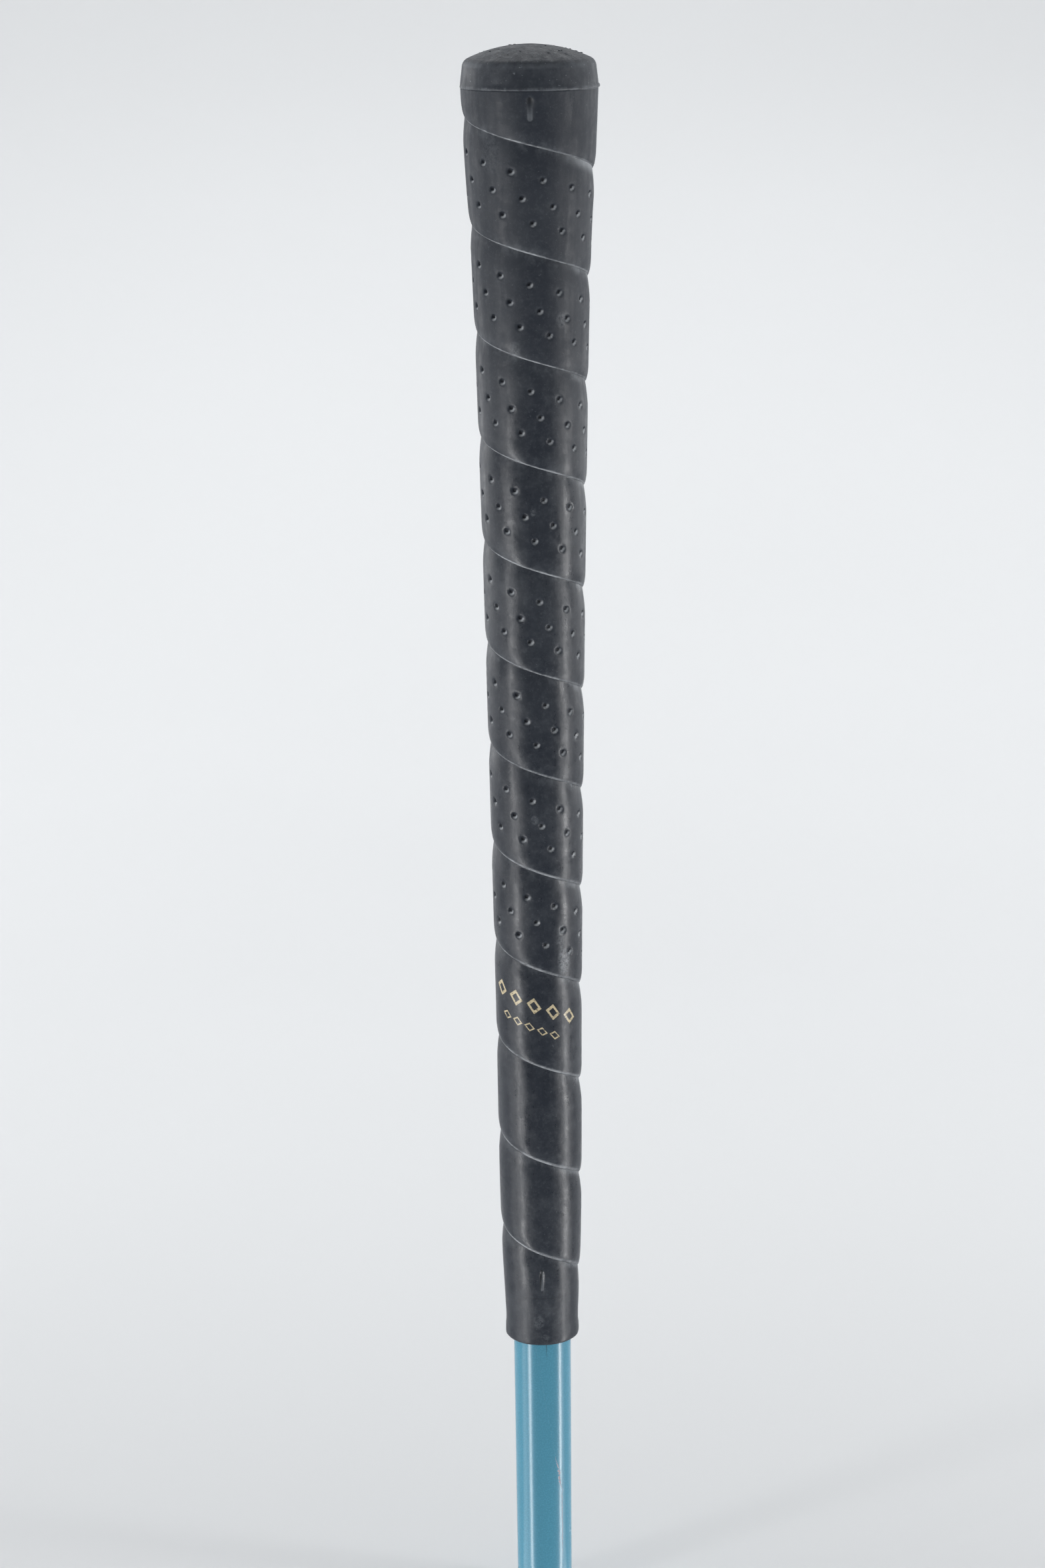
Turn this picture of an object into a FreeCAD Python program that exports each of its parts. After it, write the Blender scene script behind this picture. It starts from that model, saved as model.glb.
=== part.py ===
"""A slip-on golf grip on the butt of a tapered shaft.

Millimetres. The origin is the centre of the shaft's cut end and +Z runs up the shaft to the cap.
Angles go round the axis from the front (-Y) towards +X. The wrap's seam falls as the angle grows,
which makes it a left-handed spiral.
"""
import FreeCAD, Part
import math
import os

from FreeCAD import Vector

# Lengths along the axis
exposed_shaft = 60.0
sleeve_length = 262.0
flare_length = 30.0
collar_length = 24.0
rim_height = 3.2

# Outside of the sleeve, on the crests of the wrap
top_diameter = 27.1
flare_middle_diameter = 25.8
flare_end_diameter = 24.0
upper_body_diameter = 21.3
middle_body_diameter = 19.5
lower_body_diameter = 18.0
collar_top_diameter = 16.9
neck_diameter = 15.3
rim_diameter = 15.6
rim_chamfer = 0.35

# Moulded spiral wrap
wrap_pitch = 21.0
wrap_front_depth = 10.4
seam_depth = 0.65
roll_over_width = 3.6
rise_width = 5.6
roll_over_fullness = 0.72
run_out_turns = 0.5
seam_end_height = 20.0
seam_points_per_turn = 16

# Alignment marks, both on the front
mark_depth = 0.5
top_mark_start = 1.0
top_mark_length = 4.9
top_mark_width = 1.4
low_mark_length = 4.6
low_mark_width = 1.0
low_mark_to_mouth = 12.4

# Butt cap
cap_side_height = 5.2
cap_top_diameter = 26.4
cap_dome_rise = 3.2
cap_shoulder_radius = 2.0
cap_dome_steps = 2
cap_shoulder_steps = 3
flash_width = 0.12
flash_height = 0.9
vent_diameter = 2.5
cap_seat_depth = 3.9

# Shaft and tape
shaft_butt_diameter = 14.2
shaft_end_diameter = 11.7
shaft_wall = 1.1
tape_thickness = 0.2
tape_gap_angle = 50.0
tape_to_mouth = 6.0

# Clearance each side of the tape
bond_clearance = 0.03

mouth_z = exposed_shaft
cap_line_z = mouth_z + sleeve_length
butt_z = cap_line_z + cap_seat_depth


def shaft_radius(z):
    """Outside radius of the straight-tapered shaft."""
    slope = (shaft_butt_diameter - shaft_end_diameter) / 2 / butt_z
    return shaft_end_diameter / 2 + slope * z


def bore_radius(z):
    """Radius of the bore that holds the shaft and its tape."""
    return shaft_radius(z) + tape_thickness + 2 * bond_clearance


def revolve(points):
    """Turn a closed outline of straight lines in the XZ plane about the axis."""
    corners = [Vector(x, 0, z) for x, z in points]
    face = Part.Face(Part.makePolygon(corners + corners[:1]))
    return face.revolve(Vector(0, 0, 0), Vector(0, 0, 1), 360.0)


def sleeve_outline():
    """Radius and height of the sleeve's outside, from the neck above the rim up to the cap line."""
    body_top = cap_line_z - flare_length
    collar_top = mouth_z + collar_length
    body = [collar_top_diameter, lower_body_diameter, middle_body_diameter,
            upper_body_diameter, flare_end_diameter]
    spacing = (body_top - collar_top) / (len(body) - 1)
    stations = [(neck_diameter, mouth_z + rim_height)]
    stations += [(diameter, collar_top + spacing * i) for i, diameter in enumerate(body)]
    stations += [(flare_middle_diameter, cap_line_z - flare_length / 2), (top_diameter, cap_line_z)]
    return [(diameter / 2, z) for diameter, z in stations]


def radius_at(outline, z):
    """Radius of the outline at a height, held at its ends beyond them."""
    for (low_radius, low_z), (high_radius, high_z) in zip(outline, outline[1:]):
        if z <= high_z:
            share = max(0.0, (z - low_z) / (high_z - low_z))
            return low_radius + share * (high_radius - low_radius)
    return outline[-1][0]


def spline_cone(radius_of, low_z, high_z):
    """Solid cone with spline faces, which mesh with far fewer facets than a long true cone.

    It runs a little past both heights, for what it cuts or is trimmed to.
    """
    extra = 1.0
    low, high = low_z - extra, high_z + extra
    cone = Part.makeCone(radius_of(low), radius_of(high), high - low, Vector(0, 0, low))
    return cone.toNurbs()


def cut_to_length(shape, low_z, high_z):
    """Trim a shape square at both ends."""
    side = 2 * top_diameter
    return shape.common(Part.makeBox(side, side, high_z - low_z, Vector(-side / 2, -side / 2, low_z)))


def sleeve_blank(outline):
    """Sleeve with its lipped rim and bore, before the wrap is cut."""
    rim_radius = rim_diameter / 2
    rim = [
        (0, cap_line_z),
        (0, mouth_z),
        (rim_radius - rim_chamfer, mouth_z),
        (rim_radius, mouth_z + rim_chamfer),
        (rim_radius, mouth_z + rim_height / 2),
    ]
    return revolve(rim + outline).cut(spline_cone(bore_radius, mouth_z, cap_line_z))


def seam_ends():
    """First and last turn of the seam, counted from where it crosses the front below the cap."""
    first = -(wrap_front_depth + roll_over_width) / wrap_pitch
    last = (sleeve_length - seam_end_height - wrap_front_depth) / wrap_pitch + run_out_turns
    return first, last


def seam_path(outline, first, last):
    """Spiral along the bottom of the seam, rising clear of the surface where it runs out."""
    seam_end = seam_ends()[1]
    count = math.ceil((last - first) * seam_points_per_turn)
    points = []
    for step in range(count + 1):
        turn = first + (last - first) * step / count
        z = cap_line_z - wrap_front_depth - wrap_pitch * turn
        left = (seam_end - turn) / run_out_turns
        depth = seam_depth * min(1.0, 2.4 * left - 0.4)
        radius = radius_at(outline, z) - depth
        angle = 2 * math.pi * turn
        points.append(Vector(radius * math.sin(angle), -radius * math.cos(angle), z))
    path = Part.BSplineCurve()
    path.interpolate(points)
    return path


def seam_cutter(path):
    """Lopsided groove swept down the seam: a full roll-over above it and a longer straight rise below."""
    start = path.value(path.FirstParameter)
    outward = Vector(start.x, start.y, 0).normalize()
    body_length = sleeve_length - flare_length - collar_length
    body_slope = (flare_end_diameter - collar_top_diameter) / 2 / body_length
    outside = 3 * seam_depth
    spread = 1.6

    def place(out, up):
        return start + outward * (out + body_slope * up) + Vector(0, 0, up)

    corners = [
        start,
        place(roll_over_fullness * seam_depth, roll_over_width / 2),
        place(seam_depth, roll_over_width),
        place(outside, spread * roll_over_width),
        place(outside, -spread * rise_width),
        place(seam_depth, -rise_width),
    ]
    section = Part.makePolygon(corners + corners[:1])
    sweep = Part.BRepOffsetAPI.MakePipeShell(Part.Wire(path.toShape()))
    sweep.setFrenetMode(True)
    sweep.add(section, False, False)
    sweep.build()
    sweep.makeSolid()
    return sweep.shape()


def cut_wrap(sleeve, outline):
    """Cut the seam about a turn at a time, and make sure that every cut takes its share."""
    first, last = seam_ends()
    cuts = max(1, round(last - first))
    turns = (last - first) / cuts
    section_area = seam_depth * (roll_over_width + rise_width) / 2
    for i in range(cuts):
        path = seam_path(outline, first + i * turns, first + (i + 1) * turns)
        before = sleeve.Volume
        sleeve = sleeve.cut(seam_cutter(path))
        share = (before - sleeve.Volume) / (section_area * path.length())
        if not 0.5 < share < 1.5:
            raise ValueError("piece %d of the seam took %.2f of its share" % (i, share))
    return sleeve


def alignment_mark(outline, top_z, length, width):
    """Round-ended slot on the front, sunk to the mark depth at its shallower end."""
    low = top_z - length + width / 2
    high = top_z - width / 2
    floor = radius_at(outline, low) - mark_depth
    reach = top_diameter / 2
    slot = Part.makeBox(width, reach, high - low, Vector(-width / 2, -floor - reach, low))
    for z in (low, high):
        end = Part.makeCylinder(width / 2, reach, Vector(0, -floor - reach, z), Vector(0, 1, 0))
        slot = slot.fuse(end)
    return slot


def grip_sleeve():
    outline = sleeve_outline()
    top_mark_z = cap_line_z - top_mark_start
    low_mark_z = mouth_z + low_mark_to_mouth + low_mark_length
    top_mark = alignment_mark(outline, top_mark_z, top_mark_length, top_mark_width)
    low_mark = alignment_mark(outline, low_mark_z, low_mark_length, low_mark_width)
    return cut_wrap(sleeve_blank(outline), outline).cut(top_mark).cut(low_mark)


def cap_crown():
    """Outside of the cap in straight steps: the dome, out from the vent hole, then the rounded shoulder."""
    side = cap_top_diameter / 2
    vent = vent_diameter / 2
    apex_z = cap_line_z + cap_side_height + cap_dome_rise
    dome_radius = (side ** 2 + cap_dome_rise ** 2) / (2 * cap_dome_rise)
    dome_z = apex_z - dome_radius
    arc_x = side - cap_shoulder_radius
    arc_z = dome_z + math.sqrt((dome_radius - cap_shoulder_radius) ** 2 - arc_x ** 2)
    arc_start = math.atan2(arc_x, arc_z - dome_z)
    dome_x = dome_radius * math.sin(arc_start)
    crown = []
    for i in range(cap_dome_steps):
        x = vent + (dome_x - vent) * i / cap_dome_steps
        crown.append((x, dome_z + math.sqrt(dome_radius ** 2 - x ** 2)))
    for i in range(cap_shoulder_steps + 1):
        angle = arc_start + (math.pi / 2 - arc_start) * i / cap_shoulder_steps
        x = arc_x + cap_shoulder_radius * math.sin(angle)
        crown.append((x, arc_z + cap_shoulder_radius * math.cos(angle)))
    return crown


def butt_cap():
    """Domed cap with a flash lip at the bond line, a seat for the shaft and a vent hole."""
    side = top_diameter / 2
    lip = [
        (side, cap_line_z + flash_height),
        (side + flash_width, cap_line_z),
    ]
    blank = revolve(cap_crown() + lip + [(vent_diameter / 2, cap_line_z)])
    bore = spline_cone(bore_radius, cap_line_z, butt_z)
    return blank.cut(cut_to_length(bore, cap_line_z - cap_seat_depth, butt_z))


def tapered_tube(outer_radius, inner_radius, low_z, high_z):
    outside = spline_cone(outer_radius, low_z, high_z)
    inside = spline_cone(inner_radius, low_z - 1, high_z + 1)
    return cut_to_length(outside.cut(inside), low_z, high_z)


def shaft_tube():
    return tapered_tube(shaft_radius, lambda z: shaft_radius(z) - shaft_wall, 0, butt_z)


def grip_tape():
    """One strip laid lengthwise round the shaft, its two edges a gap apart at the back."""
    strip = tapered_tube(
        lambda z: shaft_radius(z) + bond_clearance + tape_thickness,
        lambda z: shaft_radius(z) + bond_clearance,
        mouth_z + tape_to_mouth, butt_z)
    gap = Part.makeCylinder(top_diameter, 2 * butt_z, Vector(0, 0, 0), Vector(0, 0, 1), tape_gap_angle)
    gap.rotate(Vector(0, 0, 0), Vector(0, 0, 1), 90.0 - tape_gap_angle / 2)
    return strip.cut(gap)


def main():
    os.makedirs("parts", exist_ok=True)
    for make in (grip_sleeve, butt_cap, grip_tape, shaft_tube):
        shape = make()
        solids = shape.Solids
        if len(solids) != 1 or not solids[0].isValid():
            raise ValueError(make.__name__ + " is not one valid solid")
        solids[0].exportStep("parts/" + make.__name__ + ".step")
        print(make.__name__, "volume %.1f" % solids[0].Volume, "faces", len(solids[0].Faces))


main()
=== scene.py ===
"""Looks of a slip-on golf grip on the butt of its shaft.

Makes a rubber sleeve with a moulded spiral wrap, a domed butt cap and a gloss-painted shaft, and finishes
the hidden tape. Metres, with +Z up the shaft and the front towards -Y.
"""

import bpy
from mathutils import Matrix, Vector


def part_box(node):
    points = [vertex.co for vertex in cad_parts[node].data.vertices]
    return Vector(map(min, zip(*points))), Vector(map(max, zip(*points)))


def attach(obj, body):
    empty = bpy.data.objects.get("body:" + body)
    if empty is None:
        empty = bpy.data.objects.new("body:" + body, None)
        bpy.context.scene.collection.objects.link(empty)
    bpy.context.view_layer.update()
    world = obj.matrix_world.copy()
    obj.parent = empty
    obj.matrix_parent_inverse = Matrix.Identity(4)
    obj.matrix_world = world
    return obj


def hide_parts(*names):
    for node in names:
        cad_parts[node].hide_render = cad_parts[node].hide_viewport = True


bl_info = {
    "name": "Golf grip",
    "version": (1, 0, 0),
    "blender": (4, 5, 0),
    "location": "View3D > Sidebar > Golf Grip",
    "description": "Makes a wrapped rubber golf grip, its butt cap, the painted shaft and a studio stage",
    "category": "Object",
}

import math

import bmesh
import bpy
from bpy.props import FloatProperty, FloatVectorProperty, IntProperty, PointerProperty
from mathutils import Matrix, Vector

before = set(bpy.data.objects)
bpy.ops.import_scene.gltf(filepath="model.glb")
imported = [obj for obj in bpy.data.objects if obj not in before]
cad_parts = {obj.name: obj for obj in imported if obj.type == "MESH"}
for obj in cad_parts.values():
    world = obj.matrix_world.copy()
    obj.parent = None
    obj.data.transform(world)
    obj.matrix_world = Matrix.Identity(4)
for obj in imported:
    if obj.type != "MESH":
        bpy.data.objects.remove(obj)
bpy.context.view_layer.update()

SLEEVE_LOW, SLEEVE_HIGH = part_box("grip_sleeve")
CAP_LOW, CAP_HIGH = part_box("butt_cap")
SHAFT_LOW, SHAFT_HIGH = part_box("shaft_tube")
MOUTH_Z = SLEEVE_LOW[2]
CAP_LINE_Z = SLEEVE_HIGH[2]
BUTT_Z = SHAFT_HIGH[2]
TOP_RADIUS = SLEEVE_HIGH[0]
MM = 0.001

# Radius of the sleeve as a share of its top radius, by height as a share of its length, rim bead first
OUTLINE = [
    (0.0000, 0.560), (0.0040, 0.5755), (0.0070, 0.5740), (0.0140, 0.5650), (0.0300, 0.5760),
    (0.0916, 0.6236), (0.2901, 0.6642), (0.4885, 0.7196), (0.6870, 0.7860), (0.8855, 0.8856),
    (0.9427, 0.9500), (1.0000, 1.0000),
]
RIM_RADIUS = TOP_RADIUS * OUTLINE[1][1]
# Rim bead at the mouth, going down: millimetres out from the rim's radius and up from the mouth
RIM_BEAD = (
    (-0.02, 2.4), (0.0, 1.7), (0.01, 1.0), (-0.02, 0.55), (-0.10, 0.27), (-0.24, 0.09), (-0.44, 0.0),
)
# The bore's radius past the shaft's: over the tape, and at the mouth below it
TAPE_GAP = 0.24 * MM
MOUTH_GAP = 0.06 * MM
# Radius of the shaft's cut end as a share of its butt's
SHAFT_END_SHARE = 0.824
SHAFT_WALL = 1.1 * MM
VENT_RADIUS = 1.25 * MM

# Pits: places of the three rows across the wrap, the limits between rows, and the turns that have pits
ROW_PLACES = (0.284, 0.505, 0.707)
ROW_LIMITS = (0.395, 0.606)
PERFORATED_TURNS = (-0.4, 7.62)
# Alignment marks on the front: start below the cap line, length and width in millimetres
ALIGNMENT_MARKS = ((1.0, 4.9, 1.4), (245.0, 4.6, 1.0))
MARK_DEPTH = 0.62 * MM
MARK_RAMP = 0.34 * MM
# Faint mould line round the collar, below the cap line
MOULD_LINE_DEPTH = 251.2 * MM
# Scuffs on the front: place across, depth below the cap line, half width, half height and strength
SCUFFS = (
    (5.2, 176.8, 1.5, 3.4, 1.0), (4.6, 171.5, 1.1, 4.0, 0.45), (-0.5, 146.0, 1.0, 1.2, 0.45),
    (-0.2, 82.4, 0.7, 1.0, 0.4), (5.8, 44.4, 1.2, 2.0, 0.4), (-3.5, 50.0, 1.4, 2.2, 0.35),
    (-0.7, 256.6, 1.5, 2.0, 0.35), (0.6, 260.2, 1.2, 1.1, 0.30), (-7.5, 12.0, 2.4, 5.0, 0.18),
)
# Painted lozenges: first and last turn, place across the wrap, step, half width, half height, line
LOZENGE_ROWS = (
    (7.80, 8.21, 0.375, 3.95, 1.55, 1.75, 0.42),
    (7.84, 8.12, 0.610, 2.65, 1.15, 0.95, 0.34),
)

# Soft lamps round the grip: name, degrees from the front, distance, height of the middle,
# width, height and radiance
LAMPS = (
    ("left_strip", -55.0, 0.70, -0.26, 0.10, 1.12, 20.5),
    ("right_strip", 75.0, 0.70, -0.26, 0.10, 1.12, 22.0),
    ("left_panel", -118.0, 0.90, 0.05, 0.75, 1.00, 1.9),
    ("right_panel", 122.0, 0.90, 0.05, 0.75, 1.00, 1.2),
    ("left_low", -88.0, 0.90, -0.50, 0.55, 1.10, 2.1),
    ("right_low", 104.0, 0.90, -0.50, 0.55, 1.10, 2.2),
)
# Painted shading of the paper, as a share of the stage colour, by distance behind the grip plus height as a
# share of this length
SWEEP_LENGTH = 2.0
PAPER_SHADING = [
    (0.000, 0.958), (0.015, 0.978), (0.060, 1.000), (0.115, 0.998), (0.175, 0.960), (0.245, 0.905),
    (0.340, 0.870), (0.450, 0.870), (0.560, 0.875), (0.640, 0.860), (0.720, 0.815), (1.000, 0.800),
]
# Distances to the side or in front between which the paper turns into the plain backdrop
PAPER_FADE = (0.32, 0.62)
BACKDROP = (0.76, 0.79, 0.82, 1.0)
WORLD_LIGHT = 0.40
# Camera: lens on a sensor 36 mm wide, place, and degrees looking down and leaning
LENS = 80.69
CAMERA_PLACE = (-0.0029, -0.700, CAP_LINE_Z + 0.040)
LOOKING_DOWN = 14.482
LEAN = -0.66


# ---------------------------------------------------------------- settings a user would change

class WrapSettings(bpy.types.PropertyGroup):
    pitch: FloatProperty(name="Pitch", description="Height of one turn of the wrap",
                         default=21.0 * MM, unit="LENGTH")
    front_depth: FloatProperty(name="First seam", default=10.4 * MM, unit="LENGTH",
                               description="Depth of the first seam below the cap, on the front")
    seam_depth: FloatProperty(name="Seam depth", description="Depth of the seam between turns",
                              default=0.65 * MM, unit="LENGTH")
    roll_over: FloatProperty(name="Roll-over", description="Width of the rounded edge above a seam",
                             default=3.4 * MM, unit="LENGTH")
    rise: FloatProperty(name="Rise", description="Width of the gentle rise below a seam",
                        default=5.6 * MM, unit="LENGTH")
    last_turn: FloatProperty(name="Last turn", description="Turn at which the seam runs out", default=11.53)
    columns: IntProperty(name="Columns", description="Faces round the sleeve", default=160, min=24)


class PitSettings(bpy.types.PropertyGroup):
    spacing: FloatProperty(name="Spacing", description="Distance between pits along the wrap",
                           default=6.144 * MM, unit="LENGTH")
    tightening: FloatProperty(name="Tightening", description="How much closer the pits get along the wrap",
                              default=13.0)
    radius: FloatProperty(name="Radius", description="Radius of a pit at the surface",
                          default=0.80 * MM, unit="LENGTH")
    depth: FloatProperty(name="Depth", description="Depth of a pit", default=0.42 * MM, unit="LENGTH")
    shift: FloatProperty(name="Shift", description="Where the first pit lies, in pit spacings", default=-0.05)


class FinishSettings(bpy.types.PropertyGroup):
    rubber: FloatVectorProperty(name="Rubber", description="Colour of the clean rubber", subtype="COLOR",
                                default=(0.0045, 0.0072, 0.0130))
    # The dust colour also paints the highlight band on the cap's shoulder and the lit parts of the alignment
    # marks.
    dust: FloatVectorProperty(name="Dust", description="Colour of dust and worn rubber", subtype="COLOR",
                              default=(0.135, 0.146, 0.160))
    # The worn-edge colour also paints the highlight crescents in the pits.
    worn: FloatVectorProperty(name="Worn edge", description="Colour of the rubbed edge along the seam",
                              subtype="COLOR", default=(0.40, 0.42, 0.44))
    gold: FloatVectorProperty(name="Gold", description="Colour of the painted lozenges", subtype="COLOR",
                              default=(0.45, 0.38, 0.245))
    paint: FloatVectorProperty(name="Shaft paint", description="Colour of the shaft's paint", subtype="COLOR",
                               default=(0.041, 0.171, 0.245))
    undercoat: FloatVectorProperty(name="Undercoat", description="Colour under chipped paint",
                                   subtype="COLOR", default=(0.30, 0.22, 0.24))
    tape: FloatVectorProperty(name="Tape", description="Colour of the grip tape", subtype="COLOR",
                              default=(0.66, 0.58, 0.42))
    stage: FloatVectorProperty(name="Stage", description="Colour of the floor and backdrop", subtype="COLOR",
                               default=(0.656, 0.666, 0.676))


class GolfGripSettings(bpy.types.PropertyGroup):
    wrap: PointerProperty(type=WrapSettings)
    pits: PointerProperty(type=PitSettings)
    finish: PointerProperty(type=FinishSettings)


# ---------------------------------------------------------------- nodes

class Wire:
    """An output socket. Arithmetic on it adds Math nodes to its tree."""

    def __init__(self, nodes, socket):
        self.nodes = nodes
        self.socket = socket

    def __getitem__(self, name):
        """Another output of the same node."""
        return Wire(self.nodes, self.socket.node.outputs[name])

    def math(self, operation, *others):
        return self.nodes.add("ShaderNodeMath", {"operation": operation}, [self, *others])

    def __add__(self, other):
        return self.math("ADD", other)

    def __sub__(self, other):
        return self.math("SUBTRACT", other)

    def __mul__(self, other):
        return self.math("MULTIPLY", other)

    def __truediv__(self, other):
        return self.math("DIVIDE", other)

    def __pow__(self, other):
        return self.math("POWER", other)

    def __rsub__(self, other):
        return self.nodes.add("ShaderNodeMath", {"operation": "SUBTRACT"}, [other, self])

    def __rtruediv__(self, other):
        return self.nodes.add("ShaderNodeMath", {"operation": "DIVIDE"}, [other, self])

    __radd__ = __add__
    __rmul__ = __mul__

    def above(self, limit):
        return self.math("GREATER_THAN", limit)

    def low(self, other):
        return self.math("MINIMUM", other)

    def high(self, other):
        return self.math("MAXIMUM", other)

    def floor(self):
        return self.math("FLOOR")

    def fade(self, start, end, low=0.0, high=1.0):
        """Smooth change from low to high as the value goes from start to end."""
        settings = {"interpolation_type": "SMOOTHSTEP"}
        inputs = {"Value": self, "From Min": start, "From Max": end, "To Min": low, "To Max": high}
        return self.nodes.add("ShaderNodeMapRange", settings, inputs)


class Nodes:
    """Adds nodes to one tree."""

    def __init__(self, tree):
        self.tree = tree

    def add(self, kind, settings=None, inputs=None, output=0):
        """Add a node: its settings first, then values or wires for its inputs, by name, index or in order."""
        node = self.tree.nodes.new(kind)
        for name, value in (settings or {}).items():
            if name == "curve":
                points = node.mapping.curves[0].points
                points[0].location, points[1].location = value[0], value[-1]
                for place in value[1:-1]:
                    points.new(*place)
                node.mapping.update()
            else:
                setattr(node, name, value)
        pairs = inputs.items() if isinstance(inputs, dict) else enumerate(inputs or [])
        for name, value in pairs:
            if isinstance(value, Wire):
                self.tree.links.new(value.socket, node.inputs[name])
            elif value is not None:
                node.inputs[name].default_value = value
        return Wire(self, node.outputs[output]) if node.outputs else node


def pit_number(length, spacing, tightening):
    """Number of pits in a length of the wrap. They lie closer and closer along it."""
    return length * (1 / spacing + length * tightening)


def pit_distance(along, across, slope, pitch, spacing, tightening, shift):
    """Distance to the middle of the nearest pit, its number, and how far a place is to its lit side."""
    middle = across.above(ROW_LIMITS[0])
    lowest = across.above(ROW_LIMITS[1])
    first, second, third = ROW_PLACES
    place = first + middle * (second - first) + lowest * (third - second)
    number = pit_number(along, spacing, tightening) - (middle + lowest) / 3 + shift
    index = (number + 0.5).floor()
    beside = (number - index) / (1 / spacing + along * tightening * 2)
    below = (across - place) * pitch + beside * slope
    return (beside * beside + below * below) ** 0.5, index, below * 0.8 + beside * 0.6


def pit_limits(wrap, pits):
    """Numbers of the first and last pits."""
    lengths = [wrap_length(wrap, turn) for turn in PERFORATED_TURNS]
    return [math.ceil(pit_number(length, pits.spacing, pits.tightening)) for length in lengths]


def is_pit(index, wrap, pits):
    """1 for the numbers of real pits, and 0 before the first and after the last."""
    first, last = pit_limits(wrap, pits)
    return index.above(first - 0.5) * (1.0 - index.above(last + 0.5))


def outline_radius(share):
    """Radius of the sleeve by height as a share of its length."""
    for (low, low_radius), (high, high_radius) in zip(OUTLINE, OUTLINE[1:]):
        if share <= high:
            return (low_radius + (high_radius - low_radius) * (share - low) / (high - low)) * TOP_RADIUS
    return TOP_RADIUS


def wrap_length(wrap, turn):
    """Length along the middle of the wrap from the front of the first turn."""
    steps = 400
    total = 0.0
    for i in range(steps):
        at = turn * (i + 0.5) / steps
        z = CAP_LINE_Z - wrap.front_depth - wrap.pitch * (at + 0.5)
        share = max(0.0, min(1.0, (z - MOUTH_Z) / (CAP_LINE_Z - MOUTH_Z)))
        total += 2 * math.pi * outline_radius(share) * turn / steps
    return total


def length_terms(wrap):
    """Cubic through the wrap's length, so that a node tree can work it out."""
    turns = (-1.0, 3.0, 7.0, 11.0)
    rows = [[turn ** power for power in range(4)] + [wrap_length(wrap, turn)] for turn in turns]
    for i in range(4):
        pivot = max(range(i, 4), key=lambda k: abs(rows[k][i]))
        rows[i], rows[pivot] = rows[pivot], rows[i]
        rows[i] = [value / rows[i][i] for value in rows[i]]
        for k in range(4):
            if k != i:
                rows[k] = [a - rows[k][i] * b for a, b in zip(rows[k], rows[i])]
    return [row[4] for row in rows]


# ---------------------------------------------------------------- meshes

def make_object(name, mesh):
    shape = bpy.data.objects.new(name, mesh)
    bpy.context.scene.collection.objects.link(shape)
    return shape


def apply_tree(shape, tree, values):
    """Run a geometry tree on an object once and keep its result as a plain mesh."""
    modifier = shape.modifiers.new(tree.name, "NODES")
    modifier.node_group = tree
    sockets = {item.name: item.identifier for item in tree.interface.items_tree if item.in_out == "INPUT"}
    for name, value in values.items():
        modifier[sockets[name]] = value
    graph = bpy.context.evaluated_depsgraph_get()
    graph.update()
    mesh = bpy.data.meshes.new_from_object(shape.evaluated_get(graph))
    mesh.name = shape.name
    shape.modifiers.clear()
    old, shape.data = shape.data, mesh
    bpy.data.meshes.remove(old)


def check_closed(shape):
    """Stop if a finished piece has a hole or faces that point inwards."""
    work = bmesh.new()
    work.from_mesh(shape.data)
    open_edges = sum(1 for edge in work.edges if not edge.is_manifold)
    volume = work.calc_volume(signed=True)
    work.free()
    if open_edges or volume <= 0:
        raise RuntimeError("%s: %d open edges, volume %g" % (shape.name, open_edges, volume))


def lathe(name, profile, columns, wobble=None):
    """Closed ring of faces turned from a closed outline of (radius, height), going down on the outside."""
    points, faces = [], []
    for radius, z in profile:
        for i in range(columns):
            angle = 2 * math.pi * i / columns
            out = radius + (wobble(angle, radius, z) if wobble else 0.0)
            points.append((out * math.sin(angle), -out * math.cos(angle), z))
    rows = len(profile)
    for row in range(rows):
        below = (row + 1) % rows
        for i in range(columns):
            k = (i + 1) % columns
            faces.append((row * columns + i, below * columns + i, below * columns + k, row * columns + k))
    mesh = bpy.data.meshes.new(name)
    mesh.from_pydata(points, [], faces)
    mesh.shade_smooth()
    return make_object(name, mesh)


def new_tree(name, inputs):
    """Geometry tree with named inputs. Returns the tree, its node adder and its input wires."""
    tree = bpy.data.node_groups.new(name, "GeometryNodeTree")
    tree.is_modifier = True
    tree.interface.new_socket("Geometry", in_out="INPUT", socket_type="NodeSocketGeometry")
    tree.interface.new_socket("Geometry", in_out="OUTPUT", socket_type="NodeSocketGeometry")
    for label, kind in inputs.items():
        tree.interface.new_socket(label, in_out="INPUT", socket_type=kind)
    nodes = Nodes(tree)
    return tree, nodes, nodes.add("NodeGroupInput")


def end_tree(nodes, geometry, material):
    """Every tree ends with real geometry and its material."""
    real = nodes.add("GeometryNodeRealizeInstances", {}, [geometry])
    done = nodes.add("GeometryNodeSetMaterial", {}, {"Geometry": real, "Material": material})
    nodes.add("NodeGroupOutput", {}, [done])


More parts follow.
